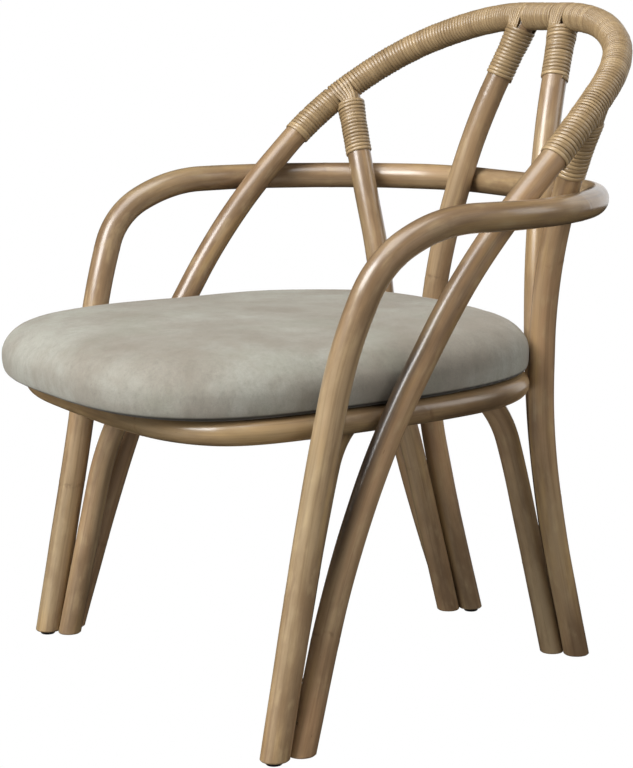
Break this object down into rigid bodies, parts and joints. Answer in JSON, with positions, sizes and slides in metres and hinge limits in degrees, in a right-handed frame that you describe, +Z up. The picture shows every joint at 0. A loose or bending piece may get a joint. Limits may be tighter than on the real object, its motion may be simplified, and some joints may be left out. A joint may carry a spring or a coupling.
{
  "type": "lounge chair",
  "caption": "Low lounge chair with a frame of bent rattan poles, a continuous arm rail, an arched spindle back bound with cane, and a round upholstered seat pad.",
  "frame": {"origin": "on the floor, under the middle of the chair's bounding box", "axes": "+Z up, -Y towards the front of the seat, +X towards the sitter's left seen from the front"},
  "size_m": [0.6716, 0.6952, 0.7853],
  "materials": {
    "rattan_pole": "satin lacquer over peeled rattan",
    "cane_binding": "satin lacquer over split cane",
    "seat_fabric": "matte brushed suede-like fabric",
    "seat_foam": "open foam",
    "seat_board": "plain plywood",
    "dust_cover": "matte woven lining",
    "glide": "moulded plastic",
    "screw": "zinc plated",
    "peg": "plain hardwood dowel"
  },
  "bodies": {
    "root": {"arm_rail": "rattan_pole", "back_arch": "rattan_pole", "spindle_outer_right": "rattan_pole", "spindle_outer_left": "rattan_pole", "spindle_inner_right": "rattan_pole", "spindle_inner_left": "rattan_pole", "seat_support_right": "rattan_pole", "seat_support_left": "rattan_pole", "seat_ring": "rattan_pole", "seat_cover": "seat_fabric", "seat_foam": "seat_foam", "seat_board": "seat_board", "seat_dust_cover": "dust_cover", "binding_outer_right": "cane_binding", "binding_outer_left": "cane_binding", "binding_inner_right": "cane_binding", "binding_inner_left": "cane_binding", "binding_arch_end_right": "cane_binding", "binding_arch_end_left": "cane_binding", "binding_arch_long_right": "cane_binding", "binding_arch_long_left": "cane_binding", "binding_arch_middle": "cane_binding", "glide_front_right": "glide", "glide_front_left": "glide", "glide_rear_right": "glide", "glide_rear_left": "glide", "frame_screws": "screw", "board_screws": "screw", "spindle_pegs": "peg"}
  },
  "joints": []
}
